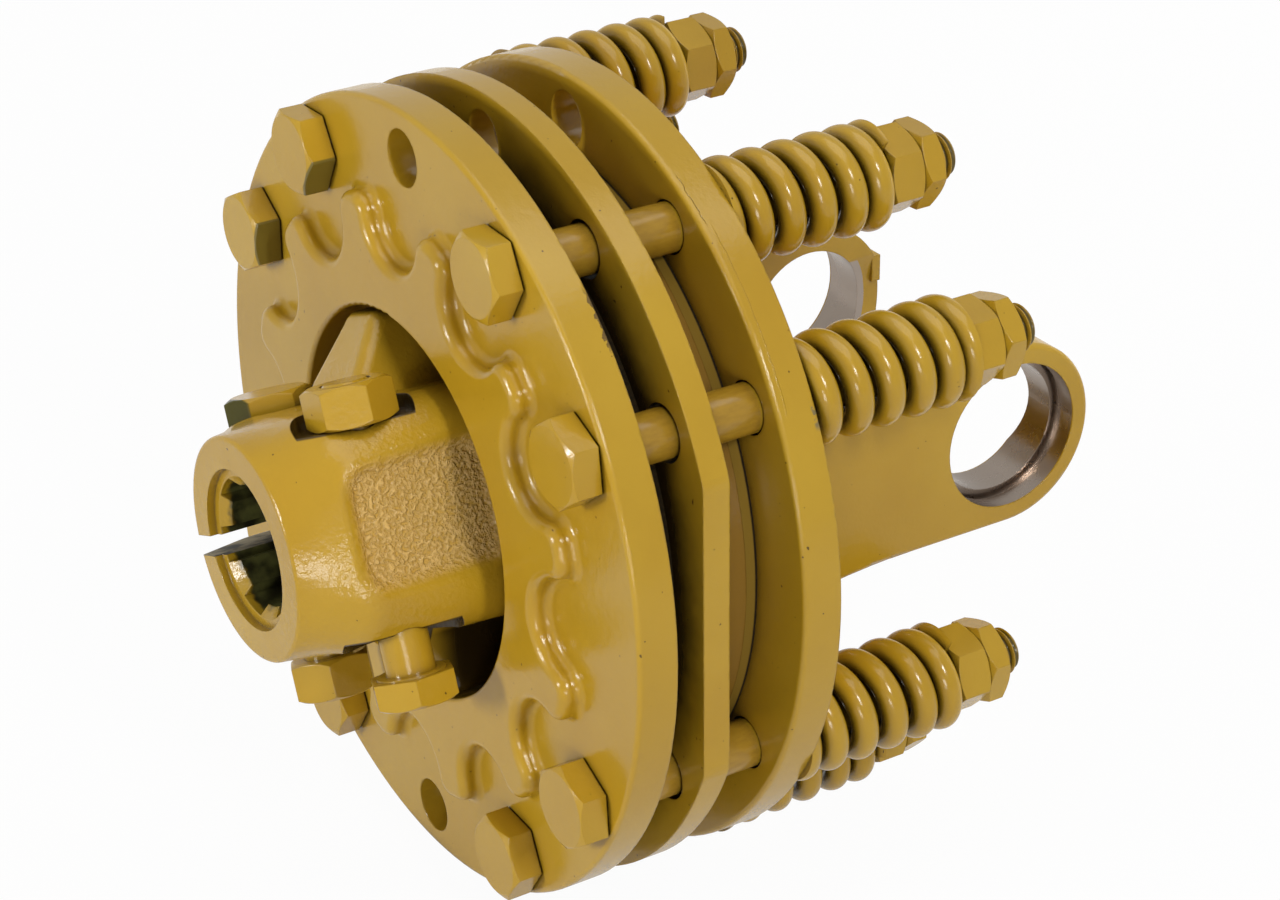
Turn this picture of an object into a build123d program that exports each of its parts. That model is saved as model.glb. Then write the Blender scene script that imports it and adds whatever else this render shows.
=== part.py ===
from build123d import *
import math
import os

# Torque limiter for a drive shaft: a splined clamp hub, a spring-loaded friction plate pack and a
# flange yoke. Millimetres. The clutch turns about the X axis, with +X from the hub to the yoke and
# +Z up. x = 0 is the back face of the front plate. Angles round the pack start at the top and run
# clockwise as seen from the hub.

# Plate pack, along X from the front plate's back face
plate_r = 100.0
front_plate_t = 10.0
raised_ring_t = 5.0
window_r = 49.1
window_edge_round = 1.0
friction_t = 3.0
drive_plate_t = 5.5
middle_plate_t = 7.0
hub_flange_t = 9.5
yoke_flange_t = 10.0
disc_inset = 19.0
middle_plate_cut = 7.2
middle_corner_round = 8.0
plate_edge_round = 1.2

# Stations of the bolt pattern: bolts and pockets share one pitch
station_count = 12
bolt_inset = 11.5
plain_hole_r = 7.0
raised_ring_inset = 11.5
pocket_inset = 14.5
pocket_neck = 13.3
pocket_tip_round = 5.0
pocket_edge_round = 2.5
pocket_foot_round = 2.0

# Clutch bolts, springs and nuts
bolt_r = 6.0
hex_af = 19.0
hex_corner_cut = 0.3
hex_corner_angle = 30.0
head_h = 7.5
washer_face_r = 8.4
washer_face_h = 0.5
spring_nut_h = 9.4
jam_nut_h = 6.0
thread_over_nut = 6.2
wire_r = 3.35
spring_outer_r = 13.2
spring_l = 46.4
spring_plate_turns = 0.9
spring_mid_turns = 3.75
spring_nut_turns = 1.55
end_coil_gap = 0.15
grind_depth = 5.0

# Hub: nose, box-shaped body, ribs, drum, flange and tail
hub_turn = -22.0
hub_face_x = -56.8
nose_face_r = 27.7
nose_round = 1.0
body_front_x = -42.0
body_half_w = 35.0
body_half_h = 28.5
body_front_corner = 18.0
body_back_corner = 8.0
body_shoulder_round = 12.0
panel_front_x = -43.5
panel_back_x = -4.0
panel_mid_n = 1.5
panel_half_h = 16.0
panel_depth = 3.0
panel_slope = 50.0
panel_corner = 8.0
panel_edge_round = 3.0
panel_floor_round = 1.5
rib_foot_x = -28.5
rib_top_x = -14.0
rib_top_n = 47.4
rib_top_half_w = 8.0
rib_foot_half_w = 15.0
rib_round = 4.0
rib_front_round = 4.0
web_gap = 1.5
drum_r = 52.0
lug_count = 6
lug_w = 14.0
lug_h = 5.0
tail_r = 26.0
tail_end_x = 50.0

# Splined bore, slit and clamp screws of the hub
spline_count = 6
spline_minor_r = 14.95
spline_major_r = 17.45
spline_groove_w = 8.7
spline_back_x = 8.0
mouth_r = 19.85
mouth_depth = 2.0
lead_in = 2.2
lead_step = 0.2
slit_w = 5.0
slit_back_x = -8.0
clamp_x = -32.4
clamp_offset = 23.7
clamp_seat_n = 24.8
spotface_r = 14.5
clamp_bolt_l = 70.0
clamp_nut_h = 10.0
loose_nut_from_end = 0.7
tight_nut_from_end = 0.3

# Flange yoke: two ears with bores for the cross kit's cups
ear_axis_x = 130.0
ear_outer_y = 53.0
ear_inner_y = 35.5
ear_half_w = 24.4
ear_flare_r = 203.0
ear_flare_x = 100.0
ear_hollow_r = 37.5
ear_edge_round = 1.5
ear_root_round = 6.0
saddle_t = 12.0
saddle_round = 10.0
cup_bore_r = 17.5
ear_mouth_r = 19.45
ear_mouth_depth = 5.0
ring_groove_r = 20.3
ring_groove_w = 1.8
lug_pad_z = 7.2
lug_pad_w = 7.5
lug_pad_y = 40.0
lug_pad_t = 8.0
lug_pad_h = 0.65

# Bush between the hub's tail and the flange yoke
bush_wall = 3.0
bush_l = 16.0

# Fits and clearances
bolt_hole_gap = 0.5
middle_hole_gap = 1.0
thread_gap = 0.05
running_gap = 0.05
lug_gap = 0.3
middle_bore_gap = 2.0
disc_bore_gap = 1.5
clamp_hole_gap = 0.75
relief_gap = 0.75
end_chamfer = 1.0
past = 1.0

# Places that follow from the plates and the stack
bolt_circle_r = plate_r - bolt_inset
pocket_circle_r = bolt_circle_r - pocket_inset
raised_ring_r = bolt_circle_r - raised_ring_inset
disc_r = plate_r - disc_inset
middle_plate_flat_y = plate_r - middle_plate_cut
x_drive_plate = friction_t
x_disc_2 = x_drive_plate + drive_plate_t
x_middle_plate = x_disc_2 + friction_t
x_disc_3 = x_middle_plate + middle_plate_t
x_hub_flange = x_disc_3 + friction_t
x_disc_4 = x_hub_flange + hub_flange_t
x_yoke = x_disc_4 + friction_t
x_seat = x_yoke + yoke_flange_t
x_nut = x_seat + spring_l
x_jam_nut = x_nut + spring_nut_h
x_bolt_end = x_jam_nut + jam_nut_h + thread_over_nut
lug_tip_r = drum_r + lug_h
disc_bore_r = lug_tip_r + disc_bore_gap
bush_r = tail_r + running_gap + bush_wall
pitch_angle = 360 / station_count
pocket_r = pocket_circle_r * math.sin(math.radians(pitch_angle / 2)) - pocket_neck / 2
bolt_stations = [k for k in range(station_count) if k % 3]
plain_stations = [0, station_count // 2]

# How far each hexagon is turned about its own axis, in the order of the bolt stations
head_turns = [2, 23, 26, 4, 4, 15, 32, 58]
nut_turns = [22, 11, 12, 35, 48, 5, 28, 24]
jam_turns = [4, 47, 43, 14, 22, 38, 51, 4]
spring_turns = [51, 193, 42, 120, 275, 340, 165, 14]
clamp_bolt_turns = [9, 20]
clamp_nut_turns = [31, 5]


def on_station(k, radius):
    """The y and z of a point on station k of the bolt pattern."""
    angle = math.radians(k * pitch_angle)
    return -radius * math.sin(angle), radius * math.cos(angle)


def ring(x0, x1, outer_r, inner_r=0.0):
    """A flat ring or disc about the X axis."""
    face = Circle(outer_r)
    if inner_r:
        face = face - Circle(inner_r)
    return extrude(Plane.YZ.offset(x0) * face, amount=x1 - x0)


def radius_of(edge):
    """How far the middle of an edge lies from the X axis."""
    middle = edge @ 0.5
    return math.hypot(middle.Y, middle.Z)


def turned(points):
    """A solid turned about the X axis from (x, radius) points."""
    return revolve(make_face(Polyline(*points, close=True)), Axis.X)


def station_holes(stations, radius, x0, x1):
    """Straight holes along X, one on each station."""
    face = Sketch() + [Pos(*on_station(k, bolt_circle_r)) * Circle(radius) for k in stations]
    return extrude(Plane.YZ.offset(x0) * face, amount=x1 - x0)


def hexagon(height, chamfer_top=True, chamfer_bottom=False):
    """A hexagon block on its local Z axis, with its corners turned off."""
    corner_r = hex_af / math.sqrt(3)
    flat_r = hex_af / 2 - hex_corner_cut
    drop = (corner_r - flat_r) * math.tan(math.radians(hex_corner_angle))
    bottom = drop if chamfer_bottom else 0.0
    top = height - drop if chamfer_top else height
    outline = [(0, 0), (flat_r if chamfer_bottom else corner_r, 0), (corner_r, bottom)]
    outline += [(corner_r, top), (flat_r if chamfer_top else corner_r, height), (0, height)]
    points = [p for n, p in enumerate(outline) if n == 0 or p != outline[n - 1]]
    turned_block = revolve(Plane.XZ * make_face(Polyline(*points, close=True)), Axis.Z)
    return turned_block & extrude(RegularPolygon(corner_r, 6), amount=height)


def upright(radius, height):
    """A cylinder standing on its local XY plane."""
    return Cylinder(radius, height, align=(Align.CENTER, Align.CENTER, Align.MIN))


def shank(radius, length):
    """A bolt's shank on its local Z axis, chamfered at the far end."""
    face = make_face(
        Polyline(
            (0, 0),
            (radius, 0),
            (radius, length - end_chamfer),
            (radius - end_chamfer, length),
            (0, length),
            close=True,
        )
    )
    return revolve(Plane.XZ * face, Axis.Z)


def bolt(length):
    """A hexagon bolt: head and washer face below its local XY plane, shank along +Z."""
    seat = Pos(0, 0, -washer_face_h)
    head = seat * Rot(X=180) * hexagon(head_h - washer_face_h)
    washer_face = seat * upright(washer_face_r, washer_face_h)
    return head + washer_face + shank(bolt_r, length)


def nut(height):
    """A hexagon nut standing on its local XY plane."""
    return hexagon(height, chamfer_bottom=True) - upright(bolt_r + thread_gap, height)


def along_x(x, y, z, turn=0.0):
    """A place whose local Z axis points along +X, turned about it."""
    return Location(Plane((x, y, z), x_dir=(0, 1, 0), z_dir=(1, 0, 0))) * Rot(Z=turn)


def pocket_outline():
    """The raised ring's outline: a disc with a round-ended pocket at each station."""
    face = Circle(raised_ring_r)
    reach = plate_r - pocket_circle_r
    for k in range(station_count):
        pocket = Circle(pocket_r) + Pos(0, reach / 2) * Rectangle(2 * pocket_r, reach)
        y, z = on_station(k, pocket_circle_r)
        face = face - Pos(y, z) * Rot(Z=k * pitch_angle) * pocket
    return face


def front_plate():
    """The front pressure plate: a raised ring round the window, cut by twelve pockets."""
    plate = ring(-front_plate_t, 0, plate_r)
    plate = fillet(plate.edges().group_by(Axis.X)[0], plate_edge_round)
    outline = Plane.YZ.offset(-front_plate_t) * pocket_outline()
    raised = extrude(outline, amount=-raised_ring_t)
    tips = [e for e in raised.edges().filter_by(Axis.X) if radius_of(e) > raised_ring_r - past]
    raised = fillet(tips, pocket_tip_round)
    raised = fillet(raised.edges().group_by(Axis.X)[0], pocket_edge_round)
    plate = plate + raised
    level = plate.edges().filter_by_position(Axis.X, -front_plate_t - 0.01, -front_plate_t + 0.01)
    foot = [e for e in level if radius_of(e) < raised_ring_r + past]
    plate = fillet(foot, pocket_foot_round)
    plate = plate - ring(-front_plate_t - raised_ring_t, 0, window_r)
    mouth = [e for e in plate.edges().group_by(Axis.X)[0] if radius_of(e) < window_r + 0.01]
    plate = fillet(mouth, window_edge_round)
    x0, x1 = -front_plate_t - raised_ring_t, 0
    plate = plate - station_holes(bolt_stations, bolt_r + bolt_hole_gap, x0, x1)
    return plate - station_holes(plain_stations, plain_hole_r, x0, x1)


def middle_plate():
    """The middle pressure plate, with a straight side at each yoke ear."""
    face = Circle(plate_r) & Rectangle(2 * middle_plate_flat_y, 2 * plate_r)
    face = fillet(face.vertices(), middle_corner_round)
    face = face - Circle(drum_r + middle_bore_gap)
    plate = extrude(Plane.YZ.offset(x_middle_plate) * face, amount=middle_plate_t)
    x0, x1 = x_middle_plate, x_middle_plate + middle_plate_t
    plate = plate - station_holes(bolt_stations, bolt_r + middle_hole_gap, x0, x1)
    return plate - station_holes(plain_stations, plain_hole_r, x0, x1)


def friction_disc(x0):
    """One friction ring of the pack."""
    return ring(x0, x0 + friction_t, disc_r, disc_bore_r)


def lug_ring(x0, x1, gap):
    """The drum's driving lugs as a ring of blocks, wider all round by the gap."""
    reach = lug_tip_r + gap
    lug = Rectangle(reach, lug_w + 2 * gap, align=(Align.MIN, Align.CENTER))
    face = (Sketch() + PolarLocations(0, lug_count) * lug) & Circle(reach)
    return extrude(Plane.YZ.offset(x0) * face, amount=x1 - x0)


def drive_plate():
    """The second driven plate, which the hub's lugs turn."""
    plate = ring(x_drive_plate, x_disc_2, disc_r, drum_r + lug_gap)
    return plate - lug_ring(x_drive_plate, x_disc_2, lug_gap)


def body_section(x, corner):
    """The outline of the hub's box-shaped body at one place along X."""
    return Plane.YZ.offset(x) * RectangleRounded(2 * body_half_w, 2 * body_half_h, corner)


def hub_body():
    """The hub's round nose growing into its box-shaped body, in the hub's own turned frame."""
    nose_face = Plane.YZ.offset(hub_face_x) * Circle(nose_face_r)
    shoulder = body_section(body_front_x, body_front_corner)
    nose = loft([nose_face, shoulder])
    nose = fillet(nose.edges().group_by(Axis.X)[0], nose_round)
    body = nose + loft([shoulder, body_section(web_gap, body_back_corner)])
    ridge = body.edges().filter_by_position(Axis.X, body_front_x - 0.01, body_front_x + 0.01)
    body = fillet(ridge, body_shoulder_round) - body_panel()
    rim_y, floor_y = -body_half_w, -body_half_w + panel_depth
    body = fillet(panel_edges(body, rim_y - past, rim_y + panel_depth / 2), panel_edge_round)
    return fillet(panel_edges(body, floor_y - 0.01, floor_y + 0.01), panel_floor_round)


def panel_edges(body, low_y, high_y):
    """The edges within the panel's outline whose middles lie between two heights."""
    found = []
    for edge in body.edges():
        point = edge.center()
        along = panel_front_x - past < point.X < panel_back_x + past
        across = abs(point.Z - panel_mid_n) < panel_half_h + past
        if along and across and low_y < point.Y < high_y:
            found.append(edge)
    return found


def body_panel():
    """The shallow panel with sloping walls in the body's side away from the slit."""
    length = panel_back_x - panel_front_x
    middle = ((panel_front_x + panel_back_x) / 2, -body_half_w, panel_mid_n)
    face = RectangleRounded(length, 2 * panel_half_h, panel_corner)
    plane = Plane(middle, x_dir=(1, 0, 0), z_dir=(0, 1, 0))
    return extrude(plane * face, amount=panel_depth, taper=panel_slope)


def hub_rib():
    """One gusset rib from the body up to the web, above the body's middle."""
    side = make_face(
        Polyline(
            (rib_foot_x, 0),
            (rib_foot_x, body_half_h),
            (rib_top_x, rib_top_n),
            (web_gap, rib_top_n),
            (web_gap, 0),
            close=True,
        )
    )
    front = make_face(
        Polyline(
            (-rib_foot_half_w, 0),
            (-rib_foot_half_w, body_half_h),
            (-rib_top_half_w, rib_top_n),
            (rib_top_half_w, rib_top_n),
            (rib_foot_half_w, body_half_h),
            (rib_foot_half_w, 0),
            close=True,
        )
    )
    front = fillet([v for v in front.vertices() if v.Y > rib_top_n - past], rib_round)
    bar = extrude(Plane.YZ.offset(rib_foot_x) * front, amount=web_gap - rib_foot_x)
    rib = bar & extrude(Plane.XZ * side, amount=body_half_w, both=True)
    slope = rib.edges().filter_by_position(Axis.X, rib_foot_x + past, rib_top_x - past)
    return fillet([e for e in slope if e.length > rib_round * 3], rib_front_round)


def hub_back():
    """The hub's drum, driving lugs, clutch flange and tail."""
    back = turned(
        [
            (web_gap, 0),
            (web_gap, drum_r),
            (x_hub_flange, drum_r),
            (x_hub_flange, disc_r),
            (x_disc_4, disc_r),
            (x_disc_4, tail_r),
            (tail_end_x - end_chamfer, tail_r),
            (tail_end_x, tail_r - end_chamfer),
            (tail_end_x, 0),
        ]
    )
    return back + lug_ring(x_drive_plate - lug_gap, x_disc_2 + lug_gap, 0)


def splined_bore():
    """Everything that is cut out of the hub along its axis."""
    groove = Rectangle(spline_major_r + past, spline_groove_w, align=(Align.MIN, Align.CENTER))
    grooves = (Sketch() + PolarLocations(0, spline_count) * groove) & Circle(spline_major_r)
    face = Circle(spline_minor_r) + grooves
    cut = extrude(Plane.YZ.offset(hub_face_x) * face, amount=spline_back_x - hub_face_x)
    mouth_x = hub_face_x + mouth_depth
    mouth = turned(
        [
            (hub_face_x - past, 0),
            (hub_face_x - past, mouth_r),
            (mouth_x, mouth_r),
            (mouth_x, spline_major_r + lead_step),
            (mouth_x + lead_in, spline_minor_r),
            (mouth_x + lead_in, 0),
        ]
    )
    relief = ring(spline_back_x, tail_end_x + past, spline_major_r + relief_gap)
    return cut + mouth + relief


def clamp_slit():
    """The slit that lets the clamp bolts close the bore, with a round end."""
    length = slit_back_x - hub_face_x
    width = body_half_w + past
    cut = Pos((hub_face_x + slit_back_x) / 2, width / 2, 0) * Box(length, width, slit_w)
    end = Pos(slit_back_x, width / 2, 0) * Rot(X=90) * Cylinder(slit_w / 2, width)
    return cut + end


def clamp_cuts():
    """The clamp bolts' holes and the round seats milled above and below them."""
    cuts = Part()
    for side in (-1, 1):
        place = Pos(clamp_x, side * clamp_offset, 0)
        cuts = cuts + place * Cylinder(bolt_r + clamp_hole_gap, 4 * body_half_h)
        for end in (-1, 1):
            seat = Pos(0, 0, end * (clamp_seat_n + body_half_h / 2))
            cuts = cuts + place * seat * Cylinder(spotface_r, body_half_h)
    return cuts


def hub():
    """The splined clamp hub with its flange ring, one forging."""
    solid = hub_body() + hub_rib() + mirror(hub_rib(), Plane.XY) + hub_back()
    solid = solid - clamp_cuts() - splined_bore() - clamp_slit()
    return Rot(X=hub_turn) * solid


def clamp_bolt(n):
    """A clamp bolt: the first points up through its nut, the second hangs from its head."""
    turn = Rot(Z=clamp_bolt_turns[n])
    if n == 0:
        end_n = clamp_seat_n + clamp_nut_h + tight_nut_from_end
        place = Pos(clamp_x, -clamp_offset, end_n - clamp_bolt_l)
    else:
        place = Pos(clamp_x, clamp_offset, clamp_seat_n) * Rot(X=180)
    return Rot(X=hub_turn) * place * turn * bolt(clamp_bolt_l)


def clamp_nut(n):
    """A clamp nut: the first sits on its seat, the second is still backed off."""
    if n == 0:
        place = Pos(clamp_x, -clamp_offset, clamp_seat_n)
    else:
        place = Pos(clamp_x, clamp_offset, clamp_seat_n - clamp_bolt_l + loose_nut_from_end)
    return Rot(X=hub_turn) * place * Rot(Z=clamp_nut_turns[n]) * nut(clamp_nut_h)


def ear_outline():
    """The side outline of an ear, which flares towards the plate."""
    flare = math.sqrt(ear_flare_r**2 - (ear_flare_x - x_seat) ** 2)
    root_half_w = ear_half_w + ear_flare_r - flare
    start, tip_start = (ear_flare_x, ear_half_w), (ear_axis_x, ear_half_w)
    upper = TangentArc(start, (x_seat, root_half_w), tangent=(-1, 0))
    tip = TangentArc(tip_start, (ear_axis_x, -ear_half_w), tangent=(1, 0))
    edges = [upper, Line(start, tip_start), tip]
    edges += [mirror(upper, Plane.XZ), Line((ear_flare_x, -ear_half_w), (ear_axis_x, -ear_half_w))]
    edges += [Line((x_seat, root_half_w), (x_seat, -root_half_w))]
    return make_face(Curve() + edges)


def flange_yoke():
    """The rear pressure plate and the yoke's two ears, one forging."""
    plate = ring(x_yoke, x_seat, plate_r)
    plate = fillet(plate.edges().group_by(Axis.X)[0], plate_edge_round)
    block = extrude(Plane.XZ * ear_outline(), amount=ear_outer_y, both=True)
    sides = block.edges().group_by(Axis.Y)[0] + block.edges().group_by(Axis.Y)[-1]
    block = fillet([e for e in sides if e.center().X > x_seat + past], ear_edge_round)
    floor_x = x_seat + saddle_t
    tip_x = ear_axis_x + ear_half_w + past
    gap_face = make_face(
        Polyline(
            (floor_x, -ear_inner_y),
            (floor_x, ear_inner_y),
            (tip_x, ear_inner_y),
            (tip_x, -ear_inner_y),
            close=True,
        )
    )
    gap_face = fillet([v for v in gap_face.vertices() if v.X < floor_x + past], saddle_round)
    hollow = ring(floor_x + saddle_round, tip_x, ear_hollow_r)
    ears = block - extrude(gap_face, amount=2 * plate_r, both=True) - hollow
    solid = plate + ears
    level = solid.edges().filter_by_position(Axis.X, x_seat - 0.01, x_seat + 0.01)
    solid = fillet([e for e in level if radius_of(e) < plate_r - past], ear_root_round)
    solid = solid + ear_pad() - ear_bores() - ring(x_yoke, floor_x, bush_r)
    x0, x1 = x_yoke, x_seat
    solid = solid - station_holes(bolt_stations, bolt_r + bolt_hole_gap, x0, x1)
    return solid - station_holes(plain_stations, plain_hole_r, x0, x1)


def ear_pad():
    """The small flat pad on the tip of the far ear."""
    reach = ear_axis_x + math.sqrt(ear_half_w**2 - lug_pad_z**2) + lug_pad_h
    inside = ear_axis_x + ring_groove_r + past
    block = Box(reach - inside, lug_pad_t, lug_pad_w, align=(Align.MIN, Align.CENTER, Align.CENTER))
    return Pos(inside, lug_pad_y, lug_pad_z) * block


def ear_bores():
    """The cross cups' bores with their outer mouths and snap-ring grooves."""
    groove_y = ear_outer_y - ear_mouth_depth
    outline = [
        (0, 0),
        (cup_bore_r, 0),
        (cup_bore_r, groove_y - ring_groove_w),
        (ring_groove_r, groove_y - ring_groove_w),
        (ring_groove_r, groove_y),
        (ear_mouth_r, groove_y),
        (ear_mouth_r, ear_outer_y + past),
        (0, ear_outer_y + past),
    ]
    half = revolve(make_face(Polyline(*outline, close=True)), Axis.Y)
    return Pos(ear_axis_x, 0, 0) * (half + mirror(half, Plane.XZ))


def centre_bush():
    """The plain bush in the flange yoke, which the hub's tail runs in."""
    return ring(x_yoke, x_yoke + bush_l, bush_r, tail_r + running_gap)


def spring():
    """A compression spring on its local Z axis, with closed and ground ends."""
    mean_r = spring_outer_r - wire_r
    end_pitch = 2 * wire_r + end_coil_gap
    start_z = wire_r - grind_depth
    plate_h = end_pitch * spring_plate_turns
    nut_h = end_pitch * spring_nut_turns
    mid_h = spring_l - 2 * start_z - plate_h - nut_h
    mid_z = start_z + plate_h
    stages = [
        (end_pitch, plate_h, start_z, 0),
        (mid_h / spring_mid_turns, mid_h, mid_z, spring_plate_turns),
        (end_pitch, nut_h, mid_z + mid_h, spring_plate_turns + spring_mid_turns),
    ]
    path = Wire(
        [
            (Pos(0, 0, z) * Rot(Z=360 * turns) * Helix(pitch, height, mean_r)).edges()[0]
            for pitch, height, z, turns in stages
        ]
    )
    section = Plane(path @ 0, z_dir=path % 0) * Circle(wire_r)
    coil = sweep(section, path=path, is_frenet=True)
    side = 4 * spring_outer_r
    ground = Box(side, side, spring_l, align=(Align.CENTER, Align.CENTER, Align.MIN))
    return coil & ground


def clutch_pieces():
    """The bolts, springs and nuts, each under its own name."""
    pieces = {}
    one_spring = spring()
    for n, k in enumerate(bolt_stations):
        y, z = on_station(k, bolt_circle_r)
        head = along_x(-front_plate_t, y, z, head_turns[n])
        pieces[f"clutch_bolt_{n + 1}"] = head * bolt(x_bolt_end + front_plate_t)
        pieces[f"spring_{n + 1}"] = along_x(x_seat, y, z, spring_turns[n]) * one_spring
        pieces[f"spring_nut_{n + 1}"] = along_x(x_nut, y, z, nut_turns[n]) * nut(spring_nut_h)
        pieces[f"jam_nut_{n + 1}"] = along_x(x_jam_nut, y, z, jam_turns[n]) * nut(jam_nut_h)
    return pieces


def all_pieces():
    """Every piece of the torque limiter, by node name."""
    pieces = {
        "hub": hub(),
        "drive_plate": Rot(X=hub_turn) * drive_plate(),
        "front_plate": front_plate(),
        "middle_plate": middle_plate(),
        "flange_yoke": flange_yoke(),
        "centre_bush": centre_bush(),
    }
    for n, x0 in enumerate((0, x_disc_2, x_disc_3, x_disc_4)):
        pieces[f"friction_disc_{n + 1}"] = friction_disc(x0)
    for n in (0, 1):
        pieces[f"clamp_bolt_{n + 1}"] = clamp_bolt(n)
        pieces[f"clamp_nut_{n + 1}"] = clamp_nut(n)
    return pieces | clutch_pieces()


os.makedirs("parts", exist_ok=True)
for name, piece in all_pieces().items():
    export_step(piece, f"parts/{name}.step")
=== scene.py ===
# %% [markdown]
# # A torque limiter, dressed in Blender
# The object is a safety clutch for a drive shaft. A splined hub on the left drives a pack of
# friction plates, eight springs press the pack together, and a forged yoke on the right carries
# the cross of a universal joint. The whole clutch was sprayed ochre after it was put together.
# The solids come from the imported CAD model, so this script only has to find them, give each one
# its finish, and model the small things that a solid model leaves out, here the screw threads.

# %% Load the frame
import math

import bmesh
import bpy
from mathutils import Matrix, Vector


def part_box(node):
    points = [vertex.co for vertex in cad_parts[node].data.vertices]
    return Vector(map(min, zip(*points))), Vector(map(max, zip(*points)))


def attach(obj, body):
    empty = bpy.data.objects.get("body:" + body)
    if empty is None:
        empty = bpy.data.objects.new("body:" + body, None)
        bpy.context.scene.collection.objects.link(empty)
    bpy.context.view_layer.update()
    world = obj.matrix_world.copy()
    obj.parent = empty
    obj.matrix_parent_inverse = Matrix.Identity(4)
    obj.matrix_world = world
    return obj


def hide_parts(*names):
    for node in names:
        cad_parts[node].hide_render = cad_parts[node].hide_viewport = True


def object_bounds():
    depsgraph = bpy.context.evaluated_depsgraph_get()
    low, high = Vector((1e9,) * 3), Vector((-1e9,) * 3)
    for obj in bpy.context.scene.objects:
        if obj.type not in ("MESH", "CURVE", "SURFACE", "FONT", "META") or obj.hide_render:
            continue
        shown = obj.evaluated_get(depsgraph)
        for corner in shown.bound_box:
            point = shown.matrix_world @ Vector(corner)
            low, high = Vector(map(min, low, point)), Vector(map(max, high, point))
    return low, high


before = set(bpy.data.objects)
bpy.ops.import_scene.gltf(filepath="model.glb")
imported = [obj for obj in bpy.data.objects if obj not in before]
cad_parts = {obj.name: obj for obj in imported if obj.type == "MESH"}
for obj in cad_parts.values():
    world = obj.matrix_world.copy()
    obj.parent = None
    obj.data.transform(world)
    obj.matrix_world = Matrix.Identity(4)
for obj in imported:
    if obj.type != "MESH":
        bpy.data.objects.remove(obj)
cad_box = [list(corner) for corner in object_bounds()]
print("CAD nodes:", len(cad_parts), "box in metres:", cad_box)

# %% [markdown]
# ## Units and colours
# The model is in metres and the drawing in millimetres, so one constant turns one into the other.
# Colours are picked as the eight-bit values that a screen shows, while Blender mixes light in
# linear values. One function does that step, with the standard curve, for every colour below.
# Another one adds a shader node, so that each node takes one statement.

# %% Units and colours
MM = 0.001


def linear(hex_code):
    """An sRGB hex colour as the linear RGBA that a shader socket takes."""
    parts = [int(hex_code[i : i + 2], 16) / 255 for i in (0, 2, 4)]
    return [c / 12.92 if c <= 0.04045 else ((c + 0.055) / 1.055) ** 2.4 for c in parts] + [1.0]


def add_node(tree, kind, inputs=None, **settings):
    """Adds a node, with its settings, and its inputs as values or as sockets to link."""
    new = tree.nodes.new(kind)
    for name, value in settings.items():
        setattr(new, name, value)
    for key, value in (inputs or {}).items():
        if isinstance(value, bpy.types.NodeSocket):
            tree.links.new(value, new.inputs[key])
        else:
            new.inputs[key].default_value = value
    return new


def new_material(name):
    """An empty material and its node tree."""
    material = bpy.data.materials.new(name)
    material.use_nodes = True
    material.node_tree.nodes.clear()
    return material, material.node_tree


print("a half-way grey in linear values:", round(linear("808080")[0], 3))

# %% [markdown]
# ## Camera
# The photograph looks down at the clutch from its hub side. The camera's place and focal length
# were worked out from known circles: the plates' rims, the bolt circle and the two ear bores.
# The nearest things are less than 0.7 m away, so the perspective is strong and the distance
# matters as much as the angle. The place is in millimetres, the angles are in degrees.

# %% Camera
AZIMUTH, ELEVATION, ROLL = -31.963, 27.312, -0.752
CAMERA_PLACE = Vector((-324.11, -604.85, 363.28)) * MM

camera_data = bpy.data.cameras.new("photo_camera")
camera_data.sensor_fit = "HORIZONTAL"
camera_data.sensor_width = 36.0
camera_data.lens = 89.52
camera_data.clip_start = 0.01
camera = bpy.data.objects.new("photo_camera", camera_data)
camera.matrix_world = (
    Matrix.Translation(CAMERA_PLACE)
    @ Matrix.Rotation(math.radians(AZIMUTH), 4, "Z")
    @ Matrix.Rotation(math.radians(90 - ELEVATION), 4, "X")
    @ Matrix.Rotation(math.radians(ROLL), 4, "Z")
)
scene = bpy.context.scene
scene.collection.objects.link(camera)
scene.camera = camera
print("camera distance:", round(camera.location.length, 3), "m")

# %% [markdown]
# ## Floor
# The photograph is cut out on white. Here the clutch lies on a pale matt floor. The camera sees
# that floor as nearly plain white with a weak shadow, and reflections see it about half as
# bright. The Light Path node tells those rays apart, so the white adds no light to the clutch.

# %% Floor
FLOOR_HALF_SIZE = 3.0
FLOOR_GREY = "D4D4D2"
FLOOR_WHITE_SEEN = 0.96
FLOOR_WHITE_MIRRORED = 0.5


def floor_material():
    """A pale floor that the camera sees as almost white."""
    material, tree = new_material("matt_studio_floor")
    path = add_node(tree, "ShaderNodeLightPath").outputs
    rays = {0: path["Is Camera Ray"], 1: path["Is Transmission Ray"]}
    seen = add_node(tree, "ShaderNodeMath", rays, operation="MAXIMUM").outputs[0]
    inputs = {0: seen, 1: FLOOR_WHITE_SEEN}
    seen_white = add_node(tree, "ShaderNodeMath", inputs, operation="MULTIPLY").outputs[0]
    inputs = {0: path["Is Glossy Ray"], 1: FLOOR_WHITE_MIRRORED}
    mirrored_white = add_node(tree, "ShaderNodeMath", inputs, operation="MULTIPLY").outputs[0]
    inputs = {0: seen_white, 1: mirrored_white}
    share = add_node(tree, "ShaderNodeMath", inputs, operation="MAXIMUM").outputs[0]
    matt = add_node(tree, "ShaderNodeBsdfDiffuse", {"Color": linear(FLOOR_GREY)}).outputs[0]
    white = add_node(tree, "ShaderNodeEmission", {"Color": linear("FFFFFF"), "Strength": 1.0})
    inputs = {0: share, 1: matt, 2: white.outputs[0]}
    mix = add_node(tree, "ShaderNodeMixShader", inputs).outputs[0]
    add_node(tree, "ShaderNodeOutputMaterial", {"Surface": mix})
    return material


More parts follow.
